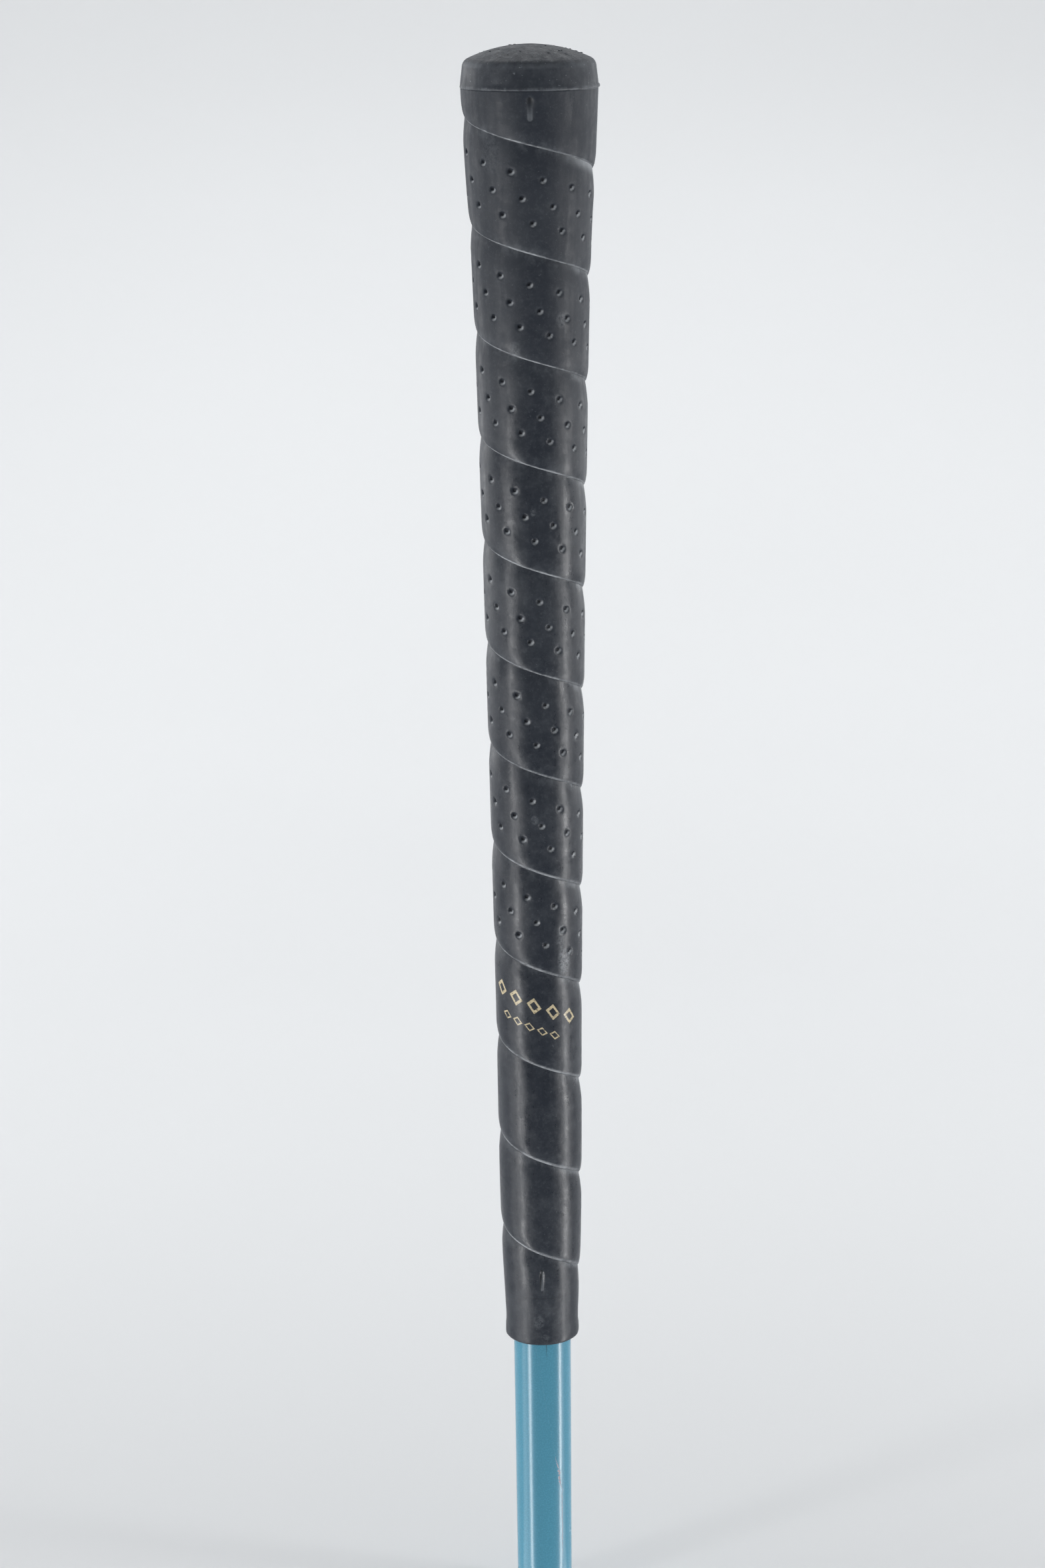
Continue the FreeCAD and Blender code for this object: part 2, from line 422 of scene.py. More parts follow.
def winding_tree(settings):
    """Winds a flat sheet round the outline. The sheet's X is the part of a turn and its Y the turn."""
    rise_curve = 1.6
    pit_floor = 0.3
    lengths = dict.fromkeys(
        ["Cap line", "Low end", "High end", "Pitch", "First seam", "Seam depth", "Roll-over", "Rise",
         "Last turn", "Pit spacing", "Pit tightening", "Pit radius", "Pit depth", "Pit shift"],
        "NodeSocketFloat")
    tree, nodes, given = new_tree("Wound strip", {**lengths, "Material": "NodeSocketMaterial"})
    pitch = given["Pitch"]
    place = nodes.add("ShaderNodeSeparateXYZ", {}, [nodes.add("GeometryNodeInputPosition")])
    part = place["X"]
    raw = given["Cap line"] - given["First seam"] - (place["Y"] + part) * pitch
    z = raw.low(given["High end"]).high(given["Low end"])
    turn = (given["Cap line"] - given["First seam"] - z) / pitch - part
    whole = turn.floor()
    across = turn - whole
    passed = whole + part

    share = (z - MOUTH_Z) / (CAP_LINE_Z - MOUTH_Z)
    outline = nodes.add("ShaderNodeFloatCurve", {"curve": OUTLINE}, {"Value": share}) * TOP_RADIUS

    beside_seam = (turn + 0.5).floor() + part
    left = (given["Last turn"] - beside_seam).fade(0.0, 0.45)
    climb = 1.0 - (across * pitch / given["Rise"]).low(1.0)
    roll = 1.0 - ((1.0 - across) * pitch / given["Roll-over"]).low(1.0)
    drop = (climb ** rise_curve).high(1.0 - (1.0 - roll * roll).high(0.0) ** 0.5)
    seam = drop * left * given["Seam depth"]

    terms = length_terms(settings.wrap)
    along = terms[0] + passed * (terms[1] + passed * (terms[2] + passed * terms[3]))
    slope = pitch / (outline * (2 * math.pi))
    distance, index, _ = pit_distance(along, across, slope, pitch, given["Pit spacing"],
                                      given["Pit tightening"], given["Pit shift"])
    hollow = (distance / given["Pit radius"]).fade(pit_floor, 1.0, 1.0, 0.0)
    pit = hollow * is_pit(index, settings.wrap, settings.pits) * given["Pit depth"]

    angle = part * (2 * math.pi)
    front = nodes.add("ShaderNodeMath", {"operation": "COSINE"}, [angle])
    side = nodes.add("ShaderNodeMath", {"operation": "SINE"}, [angle])
    marks, down = alignment_marks(side * outline, CAP_LINE_Z - z, front)
    radius = outline - seam - pit - marks * MARK_DEPTH + down * MARK_RAMP
    at = nodes.add("ShaderNodeCombineXYZ", {}, [side * radius, 0.0 - front * radius, z])

    wound = nodes.add("GeometryNodeInputNamedAttribute", {"data_type": "BOOLEAN"}, {"Name": "wound"})
    shape = given["Geometry"]
    for name, value in (("across", across), ("along", along)):
        shape = nodes.add("GeometryNodeStoreNamedAttribute", {"data_type": "FLOAT", "domain": "POINT"},
                          {"Geometry": shape, "Selection": wound, "Name": name, "Value": value})
    moved = nodes.add("GeometryNodeSetPosition", {}, {"Geometry": shape, "Selection": wound, "Position": at})
    joined = nodes.add("GeometryNodeMergeByDistance", {}, {"Geometry": moved, "Distance": 0.002 * MM})
    smooth = nodes.add("GeometryNodeSetShadeSmooth", {}, {"Geometry": joined, "Shade Smooth": True})
    end_tree(nodes, smooth, given["Material"])
    return tree


def alignment_marks(across, depth, front):
    """Round-ended slots on the front: 1 inside and 0 outside, and the same times the part of the way down.

    Depth is measured down from the cap line.
    """
    inside, down = None, None
    for start, length, width in ALIGNMENT_MARKS:
        half = width / 2 * MM
        middle = (start + length / 2) * MM
        beyond = ((depth - middle).math("ABSOLUTE") - (length / 2 * MM - half)).high(0.0)
        distance = (beyond * beyond + across * across) ** 0.5
        slot = distance.fade(0.50 * half, 1.05 * half, 1.0, 0.0) * front.above(0.0)
        part = slot * depth.fade(start * MM, (start + length) * MM)
        inside = slot if inside is None else inside + slot
        down = part if down is None else down + part
    return inside, down


def strip_rows(wrap):
    """The sheet's rows in turns, and how far each runs: round the sleeve, or only to its first column.

    Rows lie close together at the seams and where there are pits. On the plain turns most of those for
    the pits are left out, and on the first plain turn they end at its first column.
    """
    gap, beyond = 0.012 * MM, 0.02
    rise_rows, roll_rows, plain_share = 9, 12, 6
    row_height = 0.40 * MM
    plain_from = math.ceil(PERFORATED_TURNS[1])
    rise = [gap / 2 + wrap.rise * (k / rise_rows) ** 1.5 for k in range(rise_rows)]
    roll = [wrap.pitch - wrap.roll_over * (1 - k / (roll_rows - 1)) ** 1.9 - gap for k in range(roll_rows)]
    count = round((roll[0] - rise[-1]) / row_height)
    first = -(wrap.front_depth / wrap.pitch) - 1.0
    last = (CAP_LINE_Z - wrap.front_depth - MOUTH_Z) / wrap.pitch
    rows = []
    for whole in range(math.floor(first), math.ceil(last)):
        rows += [(whole + place / wrap.pitch, True) for place in rise]
        for k in range(1, count):
            full = whole < plain_from or k % plain_share == 0
            if full or whole == plain_from:
                rows.append((whole + (rise[-1] + (roll[0] - rise[-1]) * k / count) / wrap.pitch, full))
        rows += [(whole + place / wrap.pitch, True) for place in roll]
    rows = [(turn, full) for turn, full in rows if first < turn < last]
    return [(first - beyond, True)] + rows + [(last + beyond, True)]


def sleeve_sheet(wrap):
    """Flat sheet of the wrap with its rim, bore and top already in place, as one loop of rows."""
    bore_low, bore_high = bore_radius(MOUTH_Z), bore_radius(CAP_LINE_Z)
    above = [(bore_high, CAP_LINE_Z), (TOP_RADIUS - 0.05 * MM, CAP_LINE_Z),
             (TOP_RADIUS - 0.01 * MM, CAP_LINE_Z - 0.05 * MM)]
    below = [(RIM_RADIUS + out * MM, MOUTH_Z + up * MM) for out, up in RIM_BEAD]
    below += [(bore_low + 0.35 * MM, MOUTH_Z), (bore_low + 0.05 * MM, MOUTH_Z + 0.05 * MM),
              (bore_low, MOUTH_Z + 0.3 * MM)]
    points, wound, grid = [], [], []

    def add_row(place, columns, is_wound):
        grid.append(list(range(len(points), len(points) + columns)))
        points.extend(place(i / wrap.columns) for i in range(columns))
        wound.extend([is_wound] * columns)

    def add_rings(rings):
        for radius, z in rings:
            near_mouth = (MOUTH_Z + 3.0 * MM - z) / (1.5 * MM)
            off_bore = (radius - bore_low) / (0.5 * MM)
            uneven = max(0.0, min(1.0, near_mouth, off_bore))
            add_row(lambda part: on_ring(radius + uneven * rim_wobble(part), z, part), wrap.columns + 1,
                    False)

    add_rings(above)
    for turn, full in strip_rows(wrap):
        add_row(lambda part: (part, turn, 0.0), wrap.columns + 1 if full else 1, True)
    add_rings(below)
    faces = []
    full_rows = [k for k, row in enumerate(grid) if len(row) > 1]
    for k, next_k in zip(full_rows, full_rows[1:] + full_rows[:1]):
        row, under = grid[k], grid[next_k]
        ended = [grid[m][0] for m in range(k + 1, next_k)]
        faces.append((row[0], *ended, under[0], under[1], row[1]))
        faces += [(row[i], under[i], under[i + 1], row[i + 1]) for i in range(1, wrap.columns)]
    mesh = bpy.data.meshes.new("wound_sleeve")
    mesh.from_pydata(points, [], faces)
    mesh.attributes.new("wound", "BOOLEAN", "POINT").data.foreach_set("value", wound)
    return mesh


def rim_wobble(part):
    """Slightly uneven lip at the mouth."""
    return 0.05 * MM * sum(math.sin(2 * math.pi * part * k + k * k) / k ** 0.5 for k in (3, 7, 12, 19))


def on_ring(radius, z, part):
    """Place on a ring, by the part of a turn from the front."""
    angle = 2 * math.pi * part
    return (radius * math.sin(angle), -radius * math.cos(angle), z)


def bore_radius(z):
    """Radius just outside the shaft and its tape, and close round the bare shaft at the mouth."""
    return shaft_radius(z) + (TAPE_GAP if z > MOUTH_Z + 1 * MM else MOUTH_GAP)


def shaft_radius(z):
    """Outside radius of the straight-tapered shaft."""
    return SHAFT_HIGH[0] * (SHAFT_END_SHARE + (1 - SHAFT_END_SHARE) * z / BUTT_Z)


# ---------------------------------------------------------------- materials

def new_material(name):
    material = bpy.data.materials.new(name)
    material.use_nodes = True
    material.node_tree.nodes.clear()
    return material, Nodes(material.node_tree)


def finish_material(nodes, constants, varying):
    """Principled shader with its constants on its own sockets and what varies linked to it."""
    shader = nodes.add("ShaderNodeBsdfPrincipled", {}, {**constants, **varying})
    nodes.add("ShaderNodeOutputMaterial", {}, [shader])


def mix(nodes, share, first, second):
    """Lay the second colour over the first. Each is a wire or three numbers."""
    first, second = [value if isinstance(value, Wire) else (*value, 1.0) for value in (first, second)]
    settings = {"data_type": "RGBA", "clamp_factor": True}
    return nodes.add("ShaderNodeMix", settings, {0: share, 6: first, 7: second}, 2)


def noise(nodes, place, scale, detail=3.0, roughness=0.5, stretch=None):
    if stretch:
        place = nodes.add("ShaderNodeMapping", {}, {"Vector": place, "Scale": stretch})
    return nodes.add("ShaderNodeTexNoise", {"noise_dimensions": "3D"},
                     {"Vector": place, "Scale": scale, "Detail": detail, "Roughness": roughness})


class RubberLook:
    """Wires of one rubber piece: its axes, shared noises, and its dust, height, roughness and coats so far.

    A coat is a share and the colour that it lays over what is below.
    """

    def __init__(self, nodes, settings):
        self.nodes = nodes
        self.settings = settings
        self.place = nodes.add("ShaderNodeTexCoord")["Object"]
        axes = nodes.add("ShaderNodeSeparateXYZ", {}, [self.place])
        self.x, self.y, self.z = axes["X"], axes["Y"], axes["Z"]
        self.depth = CAP_LINE_Z - self.z
        self.clouds = self.noise(70.0, 4.0, 0.6)
        self.mottle = self.noise(420.0, 4.0, 0.7)
        self.crumbs = self.noise(1300.0, 3.0, 0.7)
        self.coats = []
        grain = self.noise(3400.0, 3.0, 0.7)
        specks = self.noise(2300.0, 1.0, 0.4)
        sway = self.noise(210.0, 2.0, 0.5)
        streaks = self.noise(620.0, 3.0, 0.6, (1.0, 1.0, 0.10))
        self.dust = self.clouds.fade(0.40, 0.72) * 0.08 + self.mottle.fade(0.42, 0.75) * 0.08
        self.dust += specks.fade(0.70, 0.80) * 0.16 + self.crumbs.fade(0.48, 0.72) * 0.07
        self.height = sway * 1.8 + self.mottle * 0.5 + self.crumbs * 0.26 + grain * 0.16
        self.rough = 0.21 + self.mottle.fade(0.35, 0.65) * 0.12 + self.crumbs * 0.08
        self.rough += streaks.fade(0.35, 0.65) * 0.10

    def noise(self, scale, detail, roughness, stretch=None):
        return noise(self.nodes, self.place, scale, detail, roughness, stretch)


def rubber_material(name, settings, wear):
    """Charcoal rubber with dust and fine specks, and what the wear function adds for one piece."""
    material, nodes = new_material(name)
    look = RubberLook(nodes, settings)
    wear(look)
    base = mix(nodes, look.dust.low(1.0).high(0.0), settings.finish.rubber, settings.finish.dust)
    for share, colour in look.coats:
        base = mix(nodes, share, base, colour)
    bump = nodes.add("ShaderNodeBump", {}, {"Strength": 0.55, "Distance": 0.10 * MM, "Height": look.height})
    finish_material(nodes, {"Metallic": 0.0, "IOR": 1.36},
                    {"Base Color": base, "Roughness": look.rough.low(1.0), "Normal": bump})
    return material


def wear_cap(look):
    """Grit on the dome, a painted highlight band round the shoulder, a rubbed lip and small chips."""
    up = look.z - CAP_LINE_Z
    top = up.fade(4.4 * MM, 6.0 * MM)
    shoulder = (up - 4.7 * MM).math("ABSOLUTE").fade(0.1 * MM, 0.75 * MM, 1.0, 0.0)
    lip = up.fade(0.4 * MM, 0.9 * MM, 1.0, 0.0)
    gritty = look.noise(1500.0, 5.0, 0.8)
    blotch = look.noise(480.0, 3.0, 0.6)
    chips = look.noise(1900.0, 0.0, 0.5).fade(0.78, 0.82)
    look.dust += 0.02 + top * (0.02 + gritty.fade(0.40, 0.66) * 0.20 + blotch.fade(0.40, 0.64) * 0.16)
    look.dust += lip * (0.08 + blotch.fade(0.40, 0.60) * 0.26)
    # Painted highlight: a soft pale band round the shoulder stands in for light falling on it.
    look.dust += shoulder * look.clouds.fade(0.42, 0.60) * 0.30
    look.dust += chips * 0.5 + (1.0 - top) * blotch.fade(0.45, 0.65) * 0.08
    look.height += top * (gritty * 2.4 + blotch * 2.4)
    look.rough += 0.13 + top * 0.20


def wear_wrap(look):
    """Worn seams, pits, marks, scuffs, a faint mould line and painted lozenges, with painted shade and
    highlights in the pits, the seam grooves and the marks.
    """
    finish = look.settings.finish
    across = look.nodes.add("ShaderNodeAttribute", {"attribute_name": "across"})["Fac"]
    along = look.nodes.add("ShaderNodeAttribute", {"attribute_name": "along"})["Fac"]
    on_wrap = look.z.above(MOUTH_Z + 5 * MM)
    radius = (look.x * look.x + look.y * look.y) ** 0.5
    patchy = look.noise(240.0, 3.0, 0.65)

    rubbed, groove_shade = wear_seams(look, across, radius, patchy, on_wrap)
    hole, pit_highlight = wear_pits(look, across, along, radius, on_wrap)
    unlit = wear_marks(look)
    wear_scuffs(look)
    wear_ends(look, patchy)

    from_line = (look.depth - MOULD_LINE_DEPTH).math("ABSOLUTE")
    mould_line = from_line.fade(0.05 * MM, 0.22 * MM, 1.0, 0.0)
    gold = lozenges(along, across, look.settings) * on_wrap
    flaked = look.noise(2200.0, 3.0, 0.7).fade(0.34, 0.50, 0.25, 1.0)
    # Painted shade: three tenths of the rubber colour in the pit holes, the groove under each seam and the
    # shaded sides of the marks; the mould line is a real dark line.
    dark = (hole * 0.85).high(groove_shade * 0.12).high(unlit * 0.95).high(mould_line * 0.22)
    look.rough *= 1.0 - gold * 0.25
    look.coats = [
        (dark, [0.3 * c for c in finish.rubber]),
        # The worn colour paints the rubbed line along the seams and, as painted highlight, the crescents in
        # the pits.
        (rubbed.high(pit_highlight), finish.worn),
        (gold * flaked, finish.gold),
    ]


def wear_seams(look, across, radius, patchy, on_wrap):
    """Dust beside the seams. Returns the rubbed line along them and the painted shade in the groove under it.
    """
    wrap = look.settings.wrap
    above_seam = (1.0 - across) * wrap.pitch
    below_seam = across * wrap.pitch
    seam_turn = (look.depth - wrap.front_depth) / wrap.pitch
    run = (wrap.last_turn - seam_turn).fade(-0.1, 0.4) * on_wrap
    line_width = seam_turn.fade(2.0, 10.0, 0.42 * MM, 0.85 * MM)
    line = ((above_seam - (patchy - 0.5) * (0.5 * MM)) / line_width).fade(0.2, 1.0, 1.0, 0.0) * run
    edge = above_seam.fade(0.3 * MM, 2.6 * MM, 1.0, 0.0) * run
    hollow = below_seam.fade(0.0, 2.6 * MM, 1.0, 0.0) * run
    near = below_seam.fade(0.0, 1.7 * MM, 1.0, 0.0) * run
    # Painted shade: darkens the groove just under each seam's lip.
    groove_shade = below_seam.fade(0.05 * MM, 0.55 * MM, 1.0, 0.0) * run * (1.0 - line)
    side = (look.x / radius).fade(0.25, 0.95)
    worn_patch = patchy.fade(0.46, 0.66)
    look.dust += (hollow * 0.24 + edge * 0.18) * worn_patch + near * side * (0.08 + worn_patch * 0.25)
    look.rough += line * 0.15
    broken = look.noise(700.0, 3.0, 0.7).fade(0.38, 0.60)
    pale = look.clouds.fade(0.40, 0.62)
    rubbed = line * (1.0 - side * 0.5) * (0.16 + broken * 0.26 + pale * 0.30)
    haze = side * side * (near * patchy * 0.10 + hollow * seam_turn.fade(0.7, 1.3, 0.40, 0.0))
    return rubbed.high(haze), groove_shade


def wear_pits(look, across, along, radius, on_wrap):
    """Sharper and rougher pits. Returns the hole, whose dark mask is painted shade drawn toward its shaded
    side, and a painted highlight crescent on its lit side.
    """
    wrap, pits = look.settings.wrap, look.settings.pits
    slope = wrap.pitch / (radius * (2 * math.pi))
    distance, index, lit_side = pit_distance(along, across, slope, wrap.pitch, pits.spacing,
                                             pits.tightening, pits.shift)
    there = is_pit(index, wrap, pits) * on_wrap
    # Painted shade: the hole's dark mask is pulled toward the pit's shaded side; the same mask also deepens
    # the bump.
    hole = (distance + lit_side * 0.50).fade(0.12 * MM, 0.38 * MM, 1.0, 0.0) * there
    crater = distance.fade(0.46 * MM, 0.86 * MM, 1.0, 0.0) * there
    lit = lit_side.fade(-0.15 * MM, 0.45 * MM)
    look.height -= crater + hole * 4.0
    look.rough += crater * (1.0 - lit) * 0.40
    # Painted highlight: a pale crescent round the hole on the pit's lit side.
    return hole, crater * (1.0 - hole) * lit * (0.36 + look.crumbs * 0.40)


def wear_marks(look):
    """Painted highlight on the top mark's lower end and the low mark's right side. Returns painted shade for
    their upper end and left side.
    """
    marks, down = alignment_marks(look.x, look.depth, 0.0 - look.y)
    low_mark = look.depth.above(200 * MM)
    top_mark = 1.0 - low_mark
    right_side = look.x.fade(-0.42 * MM, -0.08 * MM)
    # Painted highlight: the dust colour lightens the top mark toward its lower end and the low mark on its
    # right side.
    look.dust += top_mark * down * (0.2 + down * 0.5) + marks * low_mark * right_side * (0.40 + down * 0.25)
    # Painted shade on the top mark's upper end and the low mark's left side.
    shade = top_mark * (marks - down * 3.2).high(0.0)
    return shade + low_mark * marks * (1.0 - right_side) * (1.0 - down * 0.6)


def wear_scuffs(look):
    crumbled = look.noise(1500.0, 4.0, 0.75).fade(0.34, 0.64)
    front = (0.0 - look.y).above(0.0)
    for over, down_by, wide, tall, strength in SCUFFS:
        far = ((look.x - over * MM) / (wide * MM)) ** 2 + ((look.depth - down_by * MM) / (tall * MM)) ** 2
        look.dust += far.fade(0.0, 1.0, 1.0, 0.0) * crumbled * front * strength


def wear_ends(look, patchy):
    """Dust on the collar, and the duller rubber near the cap, where hands hold it."""
    collar = look.z.fade(MOUTH_Z + 6.0 * MM, MOUTH_Z + 16.0 * MM, 1.0, 0.0)
    look.dust += collar * (look.mottle.fade(0.40, 0.62) * 0.04 + patchy.fade(0.45, 0.60) * 0.03)
    look.rough += look.depth.fade(30 * MM, 85 * MM, 0.20, 0.0) + collar * 0.06


def lozenges(along, across, settings):
    """Two rows of painted outline lozenges on one turn of the wrap, the lower one smaller."""
    shape = None
    for start, end, place, step, half_width, half_height, line in LOZENGE_ROWS:
        from_start = along - wrap_length(settings.wrap, start)
        number = from_start / (step * MM)
        beside = (number - number.floor() - 0.5) * (step * MM)
        below = (across - place) * settings.wrap.pitch
        size = beside.math("ABSOLUTE") / (half_width * MM) + below.math("ABSOLUTE") / (half_height * MM)
        row = size.fade(0.95, 1.03, 1.0, 0.0) * size.fade(1.0 - line - 0.06, 1.0 - line + 0.02)
        length = wrap_length(settings.wrap, end) - wrap_length(settings.wrap, start)
        count = math.floor(length / (step * MM))
        row = row * number.above(0.0) * (1.0 - number.above(count))
        shape = row if shape is None else shape + row
    return shape


def paint_material(settings):
    """Gloss paint with a ragged chip and a graze down to the undercoat, and a run of dirt under the mouth."""
    finish = settings.finish
    material, nodes = new_material("shaft_gloss_paint")
    place = nodes.add("ShaderNodeTexCoord")["Object"]
    axes = nodes.add("ShaderNodeSeparateXYZ", {}, [place])
    x, y, z = axes["X"], axes["Y"], axes["Z"]
    flake = noise(nodes, place, 3200.0, 2.0, 0.5)
    drift = noise(nodes, place, 90.0, 2.0, 0.5, (1.0, 1.0, 0.25))
    ragged = noise(nodes, place, 700.0, 3.0, 0.6) - 0.5
    crumbled = noise(nodes, place, 1400.0, 3.0, 0.7).fade(0.36, 0.56)
    front = (0.0 - y).above(0.0)
    down = MOUTH_Z - z

    lean = (down - 30 * MM) * -0.16
    wide = (down - 31 * MM).math("ABSOLUTE").fade(0.0, 5.5 * MM, 0.24 * MM, 0.0)
    off = (x - 3.15 * MM + lean + ragged * (1.3 * MM)).math("ABSOLUTE")
    chip = (wide - off).fade(-0.05 * MM, 0.16 * MM) * front * crumbled
    off = (x - 3.9 * MM + ragged * (0.4 * MM)).math("ABSOLUTE")
    graze = off.fade(0.03 * MM, 0.13 * MM, 1.0, 0.0) * front
    graze = graze * down.fade(33 * MM, 37 * MM) * down.fade(46 * MM, 52 * MM, 0.5, 0.0)
    chip = chip.high(graze)
    off = (x - 0.85 * MM + ragged * (0.5 * MM)).math("ABSOLUTE")
    dirt = off.fade(0.05 * MM, 0.16 * MM, 1.0, 0.0) * down.fade(0.5 * MM, 4.5 * MM, 0.55, 0.0) * front
    cut = (z - 1.2 * MM).fade(0.0, 0.5 * MM, 1.0, 0.0)

    lighter = [min(1.0, c * 1.9 + 0.03) for c in finish.paint]
    colour = mix(nodes, flake.fade(0.35, 0.75) * 0.16 + drift * 0.08, finish.paint, lighter)
    colour = mix(nodes, chip, colour, finish.undercoat)
    colour = mix(nodes, dirt, colour, (0.02, 0.025, 0.03))
    colour = mix(nodes, cut * 0.5, colour, (0.35, 0.36, 0.37))
    bump = nodes.add("ShaderNodeBump", {}, {"Strength": 0.25, "Distance": 0.05 * MM,
                                            "Height": drift * 0.6 - chip * 1.5})
    finish_material(nodes, {"Metallic": 0.0, "IOR": 1.38, "Coat Roughness": 0.16},
                    {"Base Color": colour, "Roughness": 0.23 + drift * 0.06 + chip * 0.35, "Normal": bump,
                     "Coat Weight": 0.15 - chip * 0.15})
    return material


def tape_material(settings):
    """Buff crepe tape: cross creases and a blotchy adhesive."""
    tape = settings.finish.tape
    material, nodes = new_material("grip_tape_crepe")
    place = nodes.add("ShaderNodeTexCoord")["Object"]
    crease = noise(nodes, place, 900.0, 3.0, 0.6, (0.4, 0.4, 3.0))
    blotch = noise(nodes, place, 160.0, 3.0, 0.6)
    darker = [c * 0.62 for c in tape]
    colour = mix(nodes, crease * 0.45 + blotch.fade(0.35, 0.7) * 0.35, tape, darker)
    bump = nodes.add("ShaderNodeBump", {}, {"Strength": 0.5, "Distance": 0.05 * MM, "Height": crease})
    finish_material(nodes, {"Metallic": 0.0},
                    {"Base Color": colour, "Roughness": 0.55 + blotch * 0.3, "Normal": bump})
    return material


# ---------------------------------------------------------------- operators

class GOLFGRIP_OT_sleeve(bpy.types.Operator):
    """Wind the sleeve's strip round its outline and give it its rubber"""
    bl_idname = "golfgrip.sleeve"
    bl_label = "Make Sleeve"

    def execute(self, context):
        settings = context.scene.golf_grip
        wrap, pits = settings.wrap, settings.pits
        low_z, high_z = MOUTH_Z + 3.2 * MM, CAP_LINE_Z - 0.25 * MM
        sleeve = make_object("wound_sleeve", sleeve_sheet(wrap))
        material = rubber_material("wrap_rubber", settings, wear_wrap)
        apply_tree(sleeve, winding_tree(settings), {
            "Cap line": CAP_LINE_Z, "Low end": low_z, "High end": high_z, "Pitch": wrap.pitch,
            "First seam": wrap.front_depth, "Seam depth": wrap.seam_depth, "Roll-over": wrap.roll_over,
            "Rise": wrap.rise, "Last turn": wrap.last_turn, "Pit spacing": pits.spacing,
            "Pit tightening": pits.tightening, "Pit radius": pits.radius, "Pit depth": pits.depth,
            "Pit shift": pits.shift, "Material": material,
        })
        check_closed(sleeve)
        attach(sleeve, "root")
        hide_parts("grip_sleeve")
        return {"FINISHED"}


def cap_profile():
    """Outline of the cap, from the vent hole over the dome, down the side and back through the seat."""
    flash = ((0.01, 0.75), (0.07, 0.55), (0.12, 0.36), (0.12, 0.22), (0.06, 0.06), (0.0, 0.0))
    flash_width = 0.12 * MM
    dome_steps, corner_steps, side_steps = 14, 12, 7
    rise, corner, shoulder = 3.2 * MM, 2.0 * MM, 13.2 * MM
    side = CAP_HIGH[0] - flash_width
    apex = CAP_HIGH[2]
    dome = (shoulder ** 2 + rise ** 2) / (2 * rise)
    middle = apex - dome
    arc_x = shoulder - corner
    arc_z = middle + math.sqrt((dome - corner) ** 2 - arc_x ** 2)
    arc_start = math.atan2(arc_x, arc_z - middle)
    points = [(VENT_RADIUS, apex - 4.4 * MM), (VENT_RADIUS, apex - 0.25 * MM),
              (VENT_RADIUS + 0.12 * MM, apex - 0.07 * MM)]
    first, last = VENT_RADIUS + 0.35 * MM, dome * math.sin(arc_start)
    for k in range(dome_steps):
        radius = first + (last - first) * k / dome_steps
        points.append((radius, middle + math.sqrt(dome ** 2 - radius ** 2)))
    for k in range(corner_steps + 1):
        turn = arc_start + (math.pi / 2 - arc_start) * k / corner_steps
        points.append((arc_x + corner * math.sin(turn), arc_z + corner * math.cos(turn)))
    for k in range(1, side_steps):
        share = k / side_steps
        points.append((shoulder + (side - shoulder) * share, arc_z + (CAP_LINE_Z + 1.0 * MM - arc_z) * share))
    points += [(side + out * MM, CAP_LINE_Z + up * MM) for out, up in flash]
    points += [(bore_radius(CAP_LINE_Z), CAP_LINE_Z), (bore_radius(BUTT_Z), BUTT_Z),
               (VENT_RADIUS + 0.1 * MM, BUTT_Z)]
    return points


def lip_wobble(angle, radius, z):
    """Uneven flash at the bond line: a few slow waves, fuller on the right."""
    if not CAP_LINE_Z + 0.05 * MM < z < CAP_LINE_Z + 0.6 * MM or radius < 0.9 * TOP_RADIUS:
        return 0.0
    waves = sum(math.sin(angle * k + k * k) / k for k in (3, 7, 11, 19, 31))
    fuller = 0.16 * math.exp(-((angle - math.pi / 2) / 0.30) ** 2)
    return (max(-0.10, 0.08 * waves) + fuller) * MM


def lump_tree():
    """Scatters small lumps of dirt and moulding flash over the cap's dome."""
    kinds = {"Density": "NodeSocketFloat", "Smallest": "NodeSocketFloat", "Largest": "NodeSocketFloat",
             "Above": "NodeSocketFloat", "Seed": "NodeSocketInt", "Material": "NodeSocketMaterial"}
    tree, nodes, given = new_tree("Cap lumps", kinds)
    place = nodes.add("ShaderNodeSeparateXYZ", {}, [nodes.add("GeometryNodeInputPosition")])
    on_dome = place["Z"].above(given["Above"])
    spread = nodes.add("GeometryNodeDistributePointsOnFaces", {"distribute_method": "RANDOM"},
                       {"Mesh": given["Geometry"], "Selection": on_dome, "Density": given["Density"],
                        "Seed": given["Seed"]})
    ball = nodes.add("GeometryNodeMeshIcoSphere", {}, {"Radius": 1.0, "Subdivisions": 2})
    ragged = nodes.add("ShaderNodeTexNoise", {"noise_dimensions": "3D"}, {"Scale": 1.6, "Detail": 2.0})
    normal = nodes.add("GeometryNodeInputNormal")
    push = nodes.add("ShaderNodeVectorMath", {"operation": "SCALE"}, {0: normal, "Scale": ragged - 0.5})
    ball = nodes.add("GeometryNodeSetPosition", {}, {"Geometry": ball, "Offset": push})
    size = nodes.add("FunctionNodeRandomValue", {"data_type": "FLOAT"},
                     {2: 0.0, 3: 1.0, "Seed": given["Seed"]}, 1)
    width = given["Smallest"] + (size ** 4.0) * (given["Largest"] - given["Smallest"])
    scale = nodes.add("ShaderNodeCombineXYZ", {}, [width, width * 0.8, width * 0.34])
    turn = nodes.add("FunctionNodeRandomValue", {"data_type": "FLOAT_VECTOR"},
                     {0: (0.0, 0.0, 0.0), 1: (0.4, 0.4, 6.28), "Seed": given["Seed"]})
    lumps = nodes.add("GeometryNodeInstanceOnPoints", {},
                      {"Points": spread, "Instance": ball, "Rotation": turn, "Scale": scale})
    both = nodes.add("GeometryNodeJoinGeometry")
    for part in (lumps, given["Geometry"]):
        tree.links.new(part.socket, both.socket.node.inputs[0])
    end_tree(nodes, both, given["Material"])
    return tree


